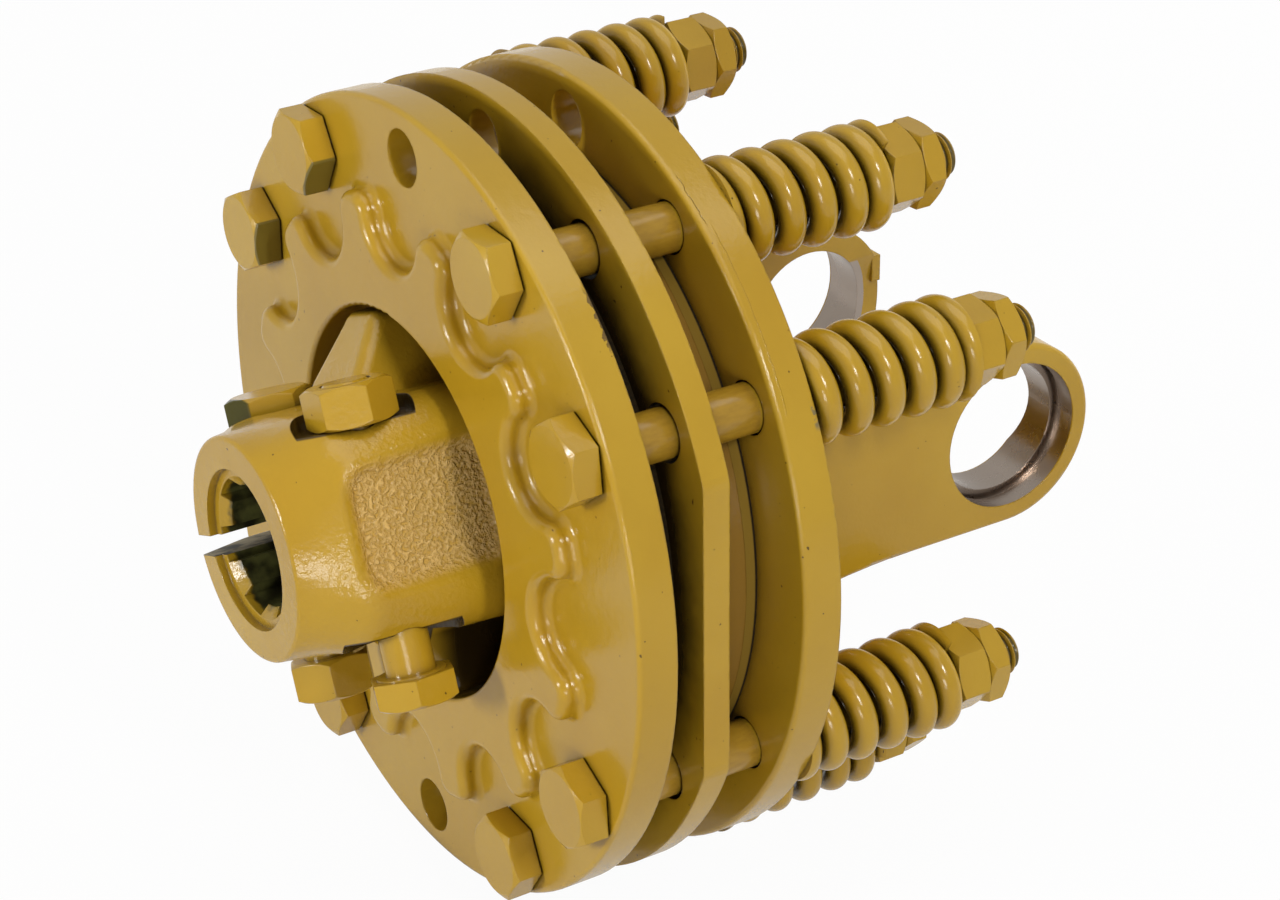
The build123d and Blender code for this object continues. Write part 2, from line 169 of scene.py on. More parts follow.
floor_z = cad_box[0][2]
floor_mesh = bmesh.new()
bmesh.ops.create_grid(floor_mesh, x_segments=1, y_segments=1, size=FLOOR_HALF_SIZE)
bmesh.ops.translate(floor_mesh, verts=floor_mesh.verts, vec=(0, 0, floor_z))
floor_data = bpy.data.meshes.new("floor")
floor_mesh.to_mesh(floor_data)
floor_mesh.free()
floor_data.materials.append(floor_material())
floor = bpy.data.objects.new("floor", floor_data)
scene.collection.objects.link(floor)
print("floor height:", round(floor_z, 4))

# %% [markdown]
# ## Sky and lamps
# The sky follows the floor: white to the camera, a little less bright in reflections, and only a
# weak light on the clutch. One soft box stands low on the left and one hangs in front on the
# right, because each spring coil in the photograph shows two short streaks in those directions.
# A low one and a wide one overhead fill in. Two fills behind the clutch light its far sides, and
# are kept out of the reflections, where they would put a glare on the rims.

# %% Sky and lamps
SKY_WHITE = "FCFCFA"
SKY_MIRRORED = 0.7
SKY_LIGHT = 0.21
LAMP_AIM = Vector((0.03, 0, 0))

scene.view_settings.view_transform = "Standard"
world = bpy.data.worlds.new("studio")
world.use_nodes = True
sky = world.node_tree
sky.nodes.clear()
path = add_node(sky, "ShaderNodeLightPath").outputs
inputs = {0: path["Is Glossy Ray"], 1: SKY_MIRRORED}
strength = add_node(sky, "ShaderNodeMath", inputs, operation="MULTIPLY").outputs[0]
for other in (path["Is Camera Ray"], path["Is Transmission Ray"], SKY_LIGHT):
    inputs = {0: strength, 1: other}
    strength = add_node(sky, "ShaderNodeMath", inputs, operation="MAXIMUM").outputs[0]
inputs = {"Color": linear(SKY_WHITE), "Strength": strength}
pale = add_node(sky, "ShaderNodeBackground", inputs).outputs[0]
add_node(sky, "ShaderNodeOutputWorld", {"Surface": pale})
scene.world = world


def soft_box(name, place, width, height, power, mirrored=True):
    """A rectangular soft box that faces the middle of the clutch."""
    data = bpy.data.lights.new(name, "AREA")
    data.shape = "RECTANGLE"
    data.size, data.size_y, data.energy = width, height, power
    lamp = bpy.data.objects.new(name, data)
    scene.collection.objects.link(lamp)
    lamp.location = place
    lamp.rotation_euler = (LAMP_AIM - Vector(place)).to_track_quat("-Z", "Y").to_euler()
    lamp.visible_glossy = mirrored


soft_box("soft_box_left", (-1.2, 0.08, 0.24), 0.12, 0.26, 6.8)
soft_box("soft_box_right", (-0.05, -1.0, 0.7), 0.12, 0.26, 5.8)
soft_box("soft_box_low", (-0.62, -1.05, 0.0), 0.3, 0.3, 3.4)
soft_box("soft_box_top", (0.1, -0.1, 1.5), 1.4, 1.4, 11.0)
soft_box("fill_back", (1.5, 0.3, 0.1), 0.9, 0.5, 22.0, mirrored=False)
soft_box("fill_far_side", (0.2, 1.6, 0.1), 1.2, 0.4, 13.0, mirrored=False)
print("lamps:", len(bpy.data.lights))

# %% [markdown]
# ## Places in millimetres
# A shader can ask where on the object a point lies. Turned into millimetres of the drawing, that
# place drives every pattern, so a 2 mm grain is 2 mm on the real clutch. A band is the soft mask
# between two values, and masks are put together by where all of them or any of them are on.

# %% Places in millimetres


def position(tree, turn_x=0.0):
    """A point's place in millimetres of the drawing, turned about X by some degrees."""
    inputs = {
        "Vector": add_node(tree, "ShaderNodeTexCoord").outputs["Object"],
        "Rotation": (math.radians(turn_x), 0, 0),
        "Scale": (1 / MM, 1 / MM, 1 / MM),
    }
    return add_node(tree, "ShaderNodeMapping", inputs).outputs[0]


def axes(tree, place):
    """The three coordinates of a place."""
    parts = add_node(tree, "ShaderNodeSeparateXYZ", {0: place}).outputs
    return parts[0], parts[1], parts[2]


def grain(tree, place, size, detail=2.0):
    """A noise from 0 to 1 whose features are about this many millimetres across."""
    inputs = {"Vector": place, "Scale": 1 / size, "Detail": detail}
    return add_node(tree, "ShaderNodeTexNoise", inputs).outputs["Fac"]


def overlap(tree, *masks):
    """Where all of these masks are on."""
    result = masks[0]
    for mask in masks[1:]:
        both = add_node(tree, "ShaderNodeMath", {0: result, 1: mask}, operation="MULTIPLY")
        result = both.outputs[0]
    return result


def either(tree, *masks):
    """Where any of these masks is on."""
    result = masks[0]
    for mask in masks[1:]:
        one = add_node(tree, "ShaderNodeMath", {0: result, 1: mask}, operation="MAXIMUM")
        result = one.outputs[0]
    return result


def band(tree, value, low, high, soft):
    """1 between low and high, fading over soft at both. None leaves that side open."""
    sides = []
    for edge, before, after in ((low, 0.0, 1.0), (high, 1.0, 0.0)):
        if edge is None:
            continue
        inputs = {
            "Value": value,
            "From Min": edge - soft,
            "From Max": edge + soft,
            "To Min": before,
            "To Max": after,
        }
        side = add_node(tree, "ShaderNodeMapRange", inputs, interpolation_type="SMOOTHSTEP")
        sides.append(side.outputs["Result"])
    return overlap(tree, *sides)


size = [round((high - low) / MM, 1) for low, high in zip(*cad_box)]
print("the clutch's box in the patterns' millimetres:", size)

# %% [markdown]
# ## Distances and ragged edges
# The clutch is mostly round, so many masks need a distance from an axis. An edge of sprayed paint
# is never a clean line. A noise that shifts a value to and fro makes the mask's edge as uneven.

# %% Distances and ragged edges
ROUND_X, ROUND_Y, ROUND_Z = (0, 1, 1), (1, 0, 1), (1, 1, 0)


def from_axis(tree, place, centre, keep):
    """The distance from an axis through the centre; keep is 0 along that axis and 1 across."""
    inputs = {0: place, 1: centre}
    moved = add_node(tree, "ShaderNodeVectorMath", inputs, operation="SUBTRACT").outputs[0]
    inputs = {0: moved, 1: keep}
    across = add_node(tree, "ShaderNodeVectorMath", inputs, operation="MULTIPLY").outputs[0]
    length = add_node(tree, "ShaderNodeVectorMath", {0: across}, operation="LENGTH")
    return length.outputs["Value"]


def shaft_radius(tree, place):
    """The distance from the shaft's axis."""
    return from_axis(tree, place, (0, 0, 0), ROUND_X)


def ragged(tree, value, place, size, amount):
    """The value moved to and fro by some millimetres of noise, for an uneven edge."""
    inputs = {"Value": grain(tree, place, size), "To Min": -amount, "To Max": amount}
    shift = add_node(tree, "ShaderNodeMapRange", inputs).outputs["Result"]
    return add_node(tree, "ShaderNodeMath", {0: value, 1: shift}).outputs[0]


print("the rims lie", round(cad_box[1][1] / MM, 1), "mm from the shaft's axis")

# %% [markdown]
# ## Relief and tints
# Paint follows what lies below it, so the small relief of a finish is a sum of noises, each with
# its height in millimetres. Paint also pulls back from a sharp edge and rounds it, more in one
# place and less in the next. The Bevel node gives that rounding to a sharp CAD edge without
# touching its mesh, and a noise makes its radius uneven.

# %% Relief and tints
# Most of a noise's values lie between these two.
NOISE_LOW, NOISE_HIGH = 0.35, 0.65
EDGE_UNEVEN = (0.4, 1.6)


def relief(tree, layers, edge):
    """The shading normal of several layers, each a noise and its height in millimetres."""
    total = None
    for noise, height in layers:
        inputs = {0: noise, 1: height}
        part = add_node(tree, "ShaderNodeMath", inputs, operation="MULTIPLY").outputs[0]
        if total is None:
            total = part
        else:
            total = add_node(tree, "ShaderNodeMath", {0: total, 1: part}).outputs[0]
    # The first layer's noise also makes the edges' rounding uneven.
    inputs = {
        "Value": layers[0][0],
        "From Min": NOISE_LOW,
        "From Max": NOISE_HIGH,
        "To Min": EDGE_UNEVEN[0] * edge * MM,
        "To Max": EDGE_UNEVEN[1] * edge * MM,
    }
    radius = add_node(tree, "ShaderNodeMapRange", inputs).outputs["Result"]
    rounded = add_node(tree, "ShaderNodeBevel", {"Radius": radius}, samples=4).outputs[0]
    inputs = {"Height": total, "Strength": 1.0, "Distance": MM, "Normal": rounded}
    return add_node(tree, "ShaderNodeBump", inputs).outputs[0]


def tint(tree, colour, mask, hex_code):
    """The colour, changed to another one where the mask is on."""
    # As a colour mixer, this node takes the mask at input 0 and the two colours at 6 and 7.
    inputs = {0: mask, 6: colour, 7: linear(hex_code)}
    return add_node(tree, "ShaderNodeMix", inputs, data_type="RGBA").outputs[2]


least, most = [round(0.4 * share, 2) for share in EDGE_UNEVEN]
print(f"a rounding of 0.4 mm varies from {least} to {most} mm")

# %% [markdown]
# ## Ochre enamel
# The paint is a semi-gloss alkyd enamel, sprayed over steel that was not smoothed first. Enamel
# levels into a faint orange peel, about 2 mm from hump to hump. A few dust specks are caught in
# it, drawn about 1 mm wide so that they show. Where a point is shut in, as between two coils, its
# colour is darkened as painted shade. The Ambient Occlusion node finds such places on any shape.
# A side darkened as painted shade can also be given less of the enamel's reflection.

# %% Ochre enamel
OCHRE_DEEP, OCHRE, OCHRE_LIGHT = "AA841C", "AF8A20", "B49026"
# The first colour is dust specks; the second is painted shade in shut-in places.
DUST, PAINTED_CREVICE_SHADE = "5A4310", "3C2C0A"
ENAMEL_IOR = 1.5
ENAMEL_ROUGHNESS = (0.15, 0.24)
ENAMEL_SHINE, SHADED_SIDE_SHINE = 0.42, 0.08
TONE_SIZE, PEEL_SIZE, FINE_SIZE, SPECK_SIZE = 45.0, 2.4, 0.8, 1.1
PEEL_HEIGHT, FINE_HEIGHT = 0.06, 0.02
SPECK_LEVEL = 0.87
CREVICE_REACH = 6.0
CREVICE_OPENNESS = 0.45


def ochre_tones(tree, cloud):
    """The enamel's colour, which drifts between three close tones."""
    tone = add_node(tree, "ShaderNodeValToRGB", {"Fac": cloud})
    ramp = tone.color_ramp.elements
    ramp[0].position, ramp[0].color = 0.3, linear(OCHRE_DEEP)
    ramp[1].position, ramp[1].color = 0.7, linear(OCHRE_LIGHT)
    ramp.new(0.5).color = linear(OCHRE)
    return tone.outputs["Color"]


def ochre_paint(tree, place, layers, edge, tints=(), dull_shaded_side=None, openness=CREVICE_OPENNESS):
    """The enamel's shader over some relief, with tints and perhaps a dull side in painted shade.
    """
    cloud = grain(tree, place, TONE_SIZE, 4.0)
    specks = band(tree, grain(tree, place, SPECK_SIZE, 0.0), SPECK_LEVEL, None, 0.01)
    colour = tint(tree, ochre_tones(tree, cloud), specks, DUST)
    for mask, hex_code in tints:
        colour = tint(tree, colour, mask, hex_code)
    # Shut-in places, found by the Ambient Occlusion node, are darkened as painted shade.
    inputs = {"Distance": CREVICE_REACH * MM}
    open_share = add_node(tree, "ShaderNodeAmbientOcclusion", inputs, samples=3).outputs["AO"]
    colour = tint(tree, colour, band(tree, open_share, None, openness, 0.25), PAINTED_CREVICE_SHADE)
    shine = ENAMEL_SHINE
    if dull_shaded_side is not None:
        inputs = {"Value": dull_shaded_side, "To Min": ENAMEL_SHINE, "To Max": SHADED_SIDE_SHINE}
        shine = add_node(tree, "ShaderNodeMapRange", inputs).outputs["Result"]
    inputs = {"Value": cloud, "To Min": ENAMEL_ROUGHNESS[0], "To Max": ENAMEL_ROUGHNESS[1]}
    roughness = add_node(tree, "ShaderNodeMapRange", inputs).outputs["Result"]
    peel = (grain(tree, place, PEEL_SIZE, 2.0), PEEL_HEIGHT)
    fine = (grain(tree, place, FINE_SIZE, 1.0), FINE_HEIGHT)
    inputs = {
        "Base Color": colour,
        "Roughness": roughness,
        "IOR": ENAMEL_IOR,
        "Specular IOR Level": shine,
        "Normal": relief(tree, [peel, fine, *layers], edge),
    }
    return add_node(tree, "ShaderNodeBsdfPrincipled", inputs).outputs[0]


print("peel", PEEL_SIZE, "mm, specks", SPECK_SIZE, "mm")

# %% [markdown]
# ## Nuts, springs and clamp screws
# These smooth pieces carry the enamel alone. The springs are wound from round wire and have no
# sharp edge, and their coils are close, so the painted shade reaches further out on them. On the
# far clamp screw one side of the head is darkened to a dark olive as painted shade.

# %% Nuts, springs and clamp screws
HEX_EDGE, WIRE_EDGE = 0.45, 0.05
# On the springs the painted shade reaches further out between the coils.
COIL_OPENNESS = 0.58
# The olive on one side of the far clamp head is painted shade.
HEAD_PAINTED_SHADE = "4A4616"
FAR_HEAD = {"high_x": -40.7, "low_y": 8.0, "low_z": 0.0}


def finish(tree, shader):
    """Ends a material with this shader."""
    add_node(tree, "ShaderNodeOutputMaterial", {"Surface": shader})


def dress(material, *names):
    """Puts a material on every CAD node whose name starts with one of these."""
    nodes = [node for name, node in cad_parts.items() if name.startswith(names)]
    for node in nodes:
        node.data.materials.clear()
        node.data.materials.append(material)
    print(material.name, "on", len(nodes), "nodes")


def plain_enamel(name, edge, openness=CREVICE_OPENNESS):
    """Enamel on a smooth piece."""
    material, tree = new_material(name)
    finish(tree, ochre_paint(tree, position(tree), [], edge, openness=openness))
    return material


def clamp_enamel():
    """Enamel on the clamp screws, with painted shade in dark olive on one side of the far head.
    """
    material, tree = new_material("enamel_on_clamp_screw")
    place = position(tree)
    x, y, z = axes(tree, place)
    # One side of the far head is darkened to olive as painted shade, and made duller.
    dull_shaded_side = overlap(
        tree,
        band(tree, x, None, FAR_HEAD["high_x"], 0.3),
        band(tree, y, FAR_HEAD["low_y"], None, 1.0),
        band(tree, z, FAR_HEAD["low_z"], None, 1.0),
    )
    finish(tree, ochre_paint(tree, place, [], HEX_EDGE, [(dull_shaded_side, HEAD_PAINTED_SHADE)], dull_shaded_side))
    return material


dress(plain_enamel("enamel_on_nut", HEX_EDGE), "spring_nut", "jam_nut")
dress(clamp_enamel(), "clamp")
wire_enamel = plain_enamel("enamel_on_spring_wire", WIRE_EDGE, COIL_OPENNESS)
dress(wire_enamel, *[f"spring_{n}" for n in range(1, 9)])

# %% [markdown]
# ## Hub: places
# The hub is turned 22 degrees about the shaft against the plates, so its masks use a frame that
# is turned with it: x along the shaft, d out of the panel's side (negative) towards the slit, and
# n along the clamp screws. All these places are in millimetres.

# %% Hub: places
HUB_TURN = 22.0
HUB_EDGE = 0.4
BODY_END_X = 0.0
BORE_R, BORE_PAINT_END_X = 17.8, -52.8
PANEL = {"x": (-41.0, -7.0), "n": (-12.0, 15.5), "outer_d": -31.3}
PANEL_GRAIN, PANEL_HEIGHT = 1.15, 0.6
SKIN_GRAIN, SKIN_HEIGHT, PATCH_HEIGHT = 1.1, 0.04, 0.13
CLAMP = {"x": -32.4, "d": 23.7, "low_n": 24.4, "r": 14.6}
FLANGE = {"low_r": 80.0, "x": (21.0, 31.5), "clean_x": (21.5, 31.0)}
INSIDE_R = 53.0
SHADED_X, WEB_X = (-7.0, 20.0), (0.4, 20.0)
BELOW = {"high_n": -29.5, "x": (-20.0, 20.0)}
SLIT = {"n": (-2.56, 2.56), "d": (16.0, 34.6)}


def hub_panel(tree, place):
    """The mask of the sunk panel, and that of the crests of its coarse skin."""
    x, d, n = axes(tree, place)
    panel = overlap(
        tree,
        band(tree, x, *PANEL["x"], 2.5),
        band(tree, n, *PANEL["n"], 2.5),
        band(tree, d, None, PANEL["outer_d"], 1.0),
    )
    coarse = band(tree, grain(tree, place, PANEL_GRAIN, 3.0), 0.5, None, 0.16)
    return panel, overlap(tree, coarse, panel)


def screw_seats(tree, place):
    """The mask of the four spotfaces under the clamp screws and nuts."""
    x, d, n = axes(tree, place)
    # Without its sign, a coordinate serves both sides of the hub.
    depth = add_node(tree, "ShaderNodeMath", {0: n}, operation="ABSOLUTE").outputs[0]
    side = add_node(tree, "ShaderNodeMath", {0: d}, operation="ABSOLUTE").outputs[0]
    folded = add_node(tree, "ShaderNodeCombineXYZ", {0: x, 1: side, 2: depth}).outputs[0]
    about_screw = from_axis(tree, folded, (CLAMP["x"], CLAMP["d"], 0), ROUND_Z)
    return overlap(
        tree,
        band(tree, about_screw, None, CLAMP["r"], 0.15),
        band(tree, depth, CLAMP["low_n"], None, 0.2),
    )


hub_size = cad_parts["hub"].dimensions / MM
print("hub in millimetres:", [round(side, 1) for side in hub_size])

# %% [markdown]
# ## Hub: finish
# The hub is a forging. Its skin is rough, and the panel in its side is rougher still, because the
# flash was knocked off there and never dressed. The panel is painted lighter, most on its grain's
# crests, as a painted highlight. The body inside the plates is darkened as painted shade, most on
# the web, and its lower side there is darker too.
# The splined bore was broached after forging, only caught paint at its mouth, and is dark with
# oil. Oil hides the steel's mirror, so that steel is not made as a metal. The sawn slit is bare
# and dull too. The flange that is clamped between the linings has a thin brown coat on its edge
# and a dark seam at each lining.

# %% Hub: finish
OILY_STEEL, SAWN_STEEL, STEEL_STAIN = "55552C", "94886A", "1E1C0C"
# Two of these colours, for the body inside the plates and for the web, are painted shade.
INSIDE_PAINTED_SHADE, SEAM, CLEAN_EDGE = "7A5A18", "4A3414", "806024"
WEB_PAINTED_SHADE, DARK_BELOW, SEAT = "171206", "241A08", "4A3812"
# The panel's two tones are a painted highlight, lightest on its grain's crests.
PANEL_PAINTED_SHEEN, CREST_PAINTED_HIGHLIGHT = "C49C4A", "D6B068"


def dull_steel(tree, place, hex_code, roughness):
    """Steel under a film of old oil or scale, which hides the metal's mirror."""
    stains = band(tree, grain(tree, place, 6.0, 4.0), 0.5, None, 0.15)
    inputs = {
        "Base Color": tint(tree, linear(hex_code), stains, STEEL_STAIN),
        "Roughness": roughness,
        "Specular IOR Level": 0.4,
        "Normal": relief(tree, [(grain(tree, place, 1.5, 2.0), 0.03)], 0.2),
    }
    return add_node(tree, "ShaderNodeBsdfPrincipled", inputs).outputs[0]


def layered(tree, under, over, mask):
    """One finish over another, the upper one where the mask is on."""
    return add_node(tree, "ShaderNodeMixShader", {0: mask, 1: under, 2: over}).outputs[0]


def hub_tints(tree, place, panel, crests):
    """The hub's tinted parts and colours, with painted shade inside and painted sheen on the
    panel.
    """
    x, _, n = axes(tree, place)
    radius = shaft_radius(tree, place)
    edge_x = band(tree, x, *FLANGE["x"], 0.2)
    flange = overlap(tree, band(tree, radius, FLANGE["low_r"], None, 0.2), edge_x)
    clean = overlap(tree, flange, band(tree, x, *FLANGE["clean_x"], 0.25))
    inside = band(tree, radius, None, INSIDE_R, 0.5)
    # The body inside the plates, and most of all the web, is darkened as painted shade.
    shaded = overlap(tree, inside, band(tree, x, *SHADED_X, 5.0))
    web = overlap(tree, inside, band(tree, ragged(tree, x, place, 5.0, 1.0), *WEB_X, 0.8))
    # The lower side inside the plates is darker.
    lower_side = band(tree, n, None, BELOW["high_n"], 1.0)
    below = overlap(tree, inside, lower_side, band(tree, x, *BELOW["x"], 6.0))
    return [
        (flange, SEAM),
        (clean, CLEAN_EDGE),
        (shaded, INSIDE_PAINTED_SHADE),
        (web, WEB_PAINTED_SHADE),
        (screw_seats(tree, place), SEAT),
        (below, DARK_BELOW),
        # The panel and its crests are painted lighter as a painted highlight.
        (panel, PANEL_PAINTED_SHEEN),
        (crests, CREST_PAINTED_HIGHLIGHT),
    ]


def hub_enamel():
    """Enamel over forged skin, with the panel, the oily bore and the sawn slit."""
    material, tree = new_material("enamel_on_forged_hub")
    place = position(tree, HUB_TURN)
    x, d, n = axes(tree, place)
    body = band(tree, x, None, BODY_END_X, 1.0)
    panel, crests = hub_panel(tree, place)
    skin = overlap(tree, grain(tree, place, SKIN_GRAIN, 3.0), body)
    patches = band(tree, grain(tree, place, 16.0, 2.0), 0.5, None, 0.12)
    layers = [(crests, PANEL_HEIGHT), (skin, SKIN_HEIGHT)]
    layers.append((overlap(tree, skin, patches), PATCH_HEIGHT))
    paint = ochre_paint(tree, place, layers, HUB_EDGE, hub_tints(tree, place, panel, crests))

    radius = shaft_radius(tree, place)
    inner = band(tree, ragged(tree, radius, place, 3.0, 0.25), None, BORE_R, 0.15)
    deep = band(tree, ragged(tree, x, place, 2.5, 1.2), BORE_PAINT_END_X, None, 0.8)
    oily = dull_steel(tree, place, OILY_STEEL, 0.35)
    shader = layered(tree, paint, oily, overlap(tree, inner, deep))
    slit = overlap(tree, band(tree, n, *SLIT["n"], 0.05), band(tree, d, *SLIT["d"], 0.2), body)
    finish(tree, layered(tree, shader, dull_steel(tree, place, SAWN_STEEL, 0.6), slit))
    return material


dress(hub_enamel(), "hub")

# %% [markdown]
# ## Flange yoke
# The yoke is a forging too. Its two ear bores were machined after painting, so they are bare
# bright steel, and the fine rings that the tool left run round them. Two scars sit on the
# flange's rim: a hair crack in the paint, and a fine raised line where the forging was trimmed.
# A place on the rim is given by its angle in degrees, from the top towards the front.

# %% Flange yoke
PLATE_EDGE = 0.7
RIM_R = 99.0
GAP_INNER_R, YOKE_FADE_R = 30.0, 80.0
EAR_AXIS = (130.0, 0.0, 0.0)
EAR_BARE_R = 19.62
EAR_BARE_DEPTH = (35.75, 52.6)
GROOVE = {"r": 20.6, "depth": (46.1, 48.1)}
TRIM_LINE = {"x": (36.4, 36.7), "angle": (36.0, 62.0), "height": 0.12}
CRACK = {"x": (35.6, 35.7), "angle": (27.0, 35.0), "height": -0.25}
CHIP = {"x": (43.0, 45.0), "angle": (61.5, 65.0), "low_r": 98.0}
YOKE_GAP_X = (33.0, 34.3)
# The second colour is painted shade on the face towards the gap.
MACHINED_STEEL, YOKE_GAP_PAINTED_SHADE, CRACK_TONE, CHIP_TONE = "A3968B", "745826", "6A4A12", "7A6A42"


def rim_angle(tree, place):
    """The angle round the shaft in degrees, from the top towards the front."""
    _, y, z = axes(tree, place)
    front = add_node(tree, "ShaderNodeMath", {0: y, 1: -1.0}, operation="MULTIPLY").outputs[0]
    angle = add_node(tree, "ShaderNodeMath", {0: front, 1: z}, operation="ARCTAN2").outputs[0]
    inputs = {0: angle, 1: 180 / math.pi}
    return add_node(tree, "ShaderNodeMath", inputs, operation="MULTIPLY").outputs[0]


def bare_metal(tree, place, hex_code, roughness, marks):
    """Machined steel, with fine tool marks and a little variation in its polish."""
    inputs = {
        "Value": grain(tree, place, 12.0, 3.0),
        "To Min": roughness - 0.06,
        "To Max": roughness + 0.08,
    }
    polish = add_node(tree, "ShaderNodeMapRange", inputs).outputs["Result"]
    inputs = {
        "Base Color": linear(hex_code),
        "Metallic": 1.0,
        "Roughness": polish,
        "Normal": relief(tree, [(grain(tree, place, 6.0, 2.0), 0.04), *marks], 0.2),
    }
    return add_node(tree, "ShaderNodeBsdfPrincipled", inputs).outputs[0]


def bare_bores(tree, place):
    """The mask of the machined ear bores, with their snap-ring grooves."""
    about_ear = from_axis(tree, place, EAR_AXIS, ROUND_Y)
    y = axes(tree, place)[1]
    depth = add_node(tree, "ShaderNodeMath", {0: y}, operation="ABSOLUTE").outputs[0]
    bore = band(tree, ragged(tree, about_ear, place, 3.0, 0.12), None, EAR_BARE_R, 0.06)
    groove_r = band(tree, about_ear, None, GROOVE["r"], 0.05)
    groove = overlap(tree, groove_r, band(tree, depth, *GROOVE["depth"], 0.05))
    return overlap(tree, either(tree, bore, groove), band(tree, depth, *EAR_BARE_DEPTH, 0.1))


def yoke_enamel():
    """Enamel over the forged yoke, with bare bores in its ears and scars on its rim."""
    material, tree = new_material("enamel_on_forged_yoke")
    place = position(tree)
    x = axes(tree, place)[0]
    radius = shaft_radius(tree, place)
    angle = rim_angle(tree, place)
    rim = band(tree, radius, RIM_R, None, 0.3)
    # The face towards the gap darkens towards the middle as painted shade.
    uneven = ragged(tree, radius, place, 9.0, 3.0)
    gap_shade = band(tree, uneven, GAP_INNER_R, YOKE_FADE_R, 10.0)
    gap_face = overlap(tree, gap_shade, band(tree, x, *YOKE_GAP_X, 0.1))
    trimmed = overlap(
        tree,
        rim,
        band(tree, ragged(tree, x, place, 6.0, 0.5), *TRIM_LINE["x"], 0.12),
        band(tree, angle, *TRIM_LINE["angle"], 1.0),
    )
    crack = overlap(
        tree,
        rim,
        band(tree, ragged(tree, x, place, 3.0, 0.8), *CRACK["x"], 0.1),
        band(tree, angle, *CRACK["angle"], 1.0),
    )
    chip = overlap(
        tree,
        band(tree, x, *CHIP["x"], 0.4),
        band(tree, angle, *CHIP["angle"], 0.5),
        band(tree, grain(tree, place, 1.5, 2.0), 0.5, None, 0.03),
        band(tree, radius, CHIP["low_r"], None, 0.3),
    )
    forged_skin = (grain(tree, place, 1.2, 2.0), 0.015)
    layers = [forged_skin, (trimmed, TRIM_LINE["height"]), (crack, CRACK["height"])]
    tints = [(gap_face, YOKE_GAP_PAINTED_SHADE), (crack, CRACK_TONE), (chip, CHIP_TONE)]
    paint = ochre_paint(tree, place, layers, PLATE_EDGE, tints)
    inputs = {"Vector": place, "Scale": (0.12, 4.0, 0.12)}
    round_bore = add_node(tree, "ShaderNodeMapping", inputs).outputs[0]
    tool_rings = (grain(tree, round_bore, 1.0, 2.0), 0.015)
    steel = bare_metal(tree, place, MACHINED_STEEL, 0.27, [tool_rings])
    finish(tree, layered(tree, paint, steel, bare_bores(tree, place)))
    return material


dress(yoke_enamel(), "flange_yoke")

# %% [markdown]
# ## Plates
# The plates' faces towards the gaps fade from ochre at the rim to near black towards the middle,
# as painted shade. Paint hangs ragged on the back edge of the front plate, where it was chipped
# off in a stretch of about 15 mm.

# %% Plates
CHIPPED_EDGE = {"x": (-0.5, 1.0), "angle": (40.0, 48.0), "low_r": 98.0, "height": -0.2}
CHIPPED_TONE = "6A5222"
# The colours of the faces towards the gaps are painted shade.
FRONT_GAP_SHADE = [(0.0, "2C1D08")]
MIDDLE_GAP_SHADE = [(11.5, "221606"), (18.5, "6C5020")]


def plate_enamel(name, gap_faces, fade_r):
    """Enamel on a plate whose faces towards the gaps fade to painted shade inside a radius."""
    material, tree = new_material(name)
    place = position(tree)
    x = axes(tree, place)[0]
    radius = shaft_radius(tree, place)
    # Towards the middle, the faces towards the gaps are darkened as painted shade.
    uneven = ragged(tree, radius, place, 9.0, 3.0)
    gap_shade = band(tree, uneven, GAP_INNER_R, fade_r, 8.0)
    tints = []
    for face_x, hex_code in gap_faces:
        on_face = band(tree, x, face_x - 0.3, face_x + 0.3, 0.1)
        tints.append((overlap(tree, on_face, gap_shade), hex_code))
    chips = overlap(
        tree,
        band(tree, ragged(tree, x, place, 1.2, 1.3), *CHIPPED_EDGE["x"], 0.1),
        band(tree, rim_angle(tree, place), *CHIPPED_EDGE["angle"], 1.0),
        band(tree, radius, CHIPPED_EDGE["low_r"], None, 0.2),
    )
    tints.append((chips, CHIPPED_TONE))
    layers = [(chips, CHIPPED_EDGE["height"])]
    finish(tree, ochre_paint(tree, place, layers, PLATE_EDGE, tints))
    return material


dress(plate_enamel("enamel_on_front_plate", FRONT_GAP_SHADE, 94.0), "front_plate")
dress(plate_enamel("enamel_on_middle_plate", MIDDLE_GAP_SHADE, 89.0), "middle_plate")

# %% [markdown]
# ## Friction discs, drive plate and bush
# The linings are moulded from resin and fibre and are nearly black. A mist of overspray reached
# the edges of the two discs in the wider gap and turned them brown, and a weaker one left an
# olive tone on the first disc. The drive plate in the narrow gap is scaled steel, and the bush
# under the yoke is plain bronze.

# %% Friction discs, drive plate and bush
DISC_RIM_R = 80.0


def plain_finish(name, tones, size, height, roughness, metallic=0.0, mist=None):
    """A finish of two close tones in a fine grain, perhaps with paint mist on its rim."""
    material, tree = new_material(name)
    place = position(tree)
    noise = grain(tree, place, size, 4.0)
    tone = add_node(tree, "ShaderNodeValToRGB", {"Fac": noise})
    ramp = tone.color_ramp.elements
    ramp[0].position, ramp[0].color = NOISE_LOW, linear(tones[0])
    ramp[1].position, ramp[1].color = NOISE_HIGH, linear(tones[1])
    colour = tone.outputs["Color"]
    if mist:
        low_x, high_x, hex_code = mist
        on_rim = band(tree, shaft_radius(tree, place), DISC_RIM_R, None, 0.3)
        reached = band(tree, axes(tree, place)[0], low_x, high_x, 0.2)
        colour = tint(tree, colour, overlap(tree, on_rim, reached), hex_code)
    inputs = {
        "Base Color": colour,
        "Roughness": roughness,
        "Specular IOR Level": 0.08,
        "Metallic": metallic,
        "Normal": relief(tree, [(noise, height)], 0.15),
    }
    finish(tree, add_node(tree, "ShaderNodeBsdfPrincipled", inputs).outputs[0])
    return material


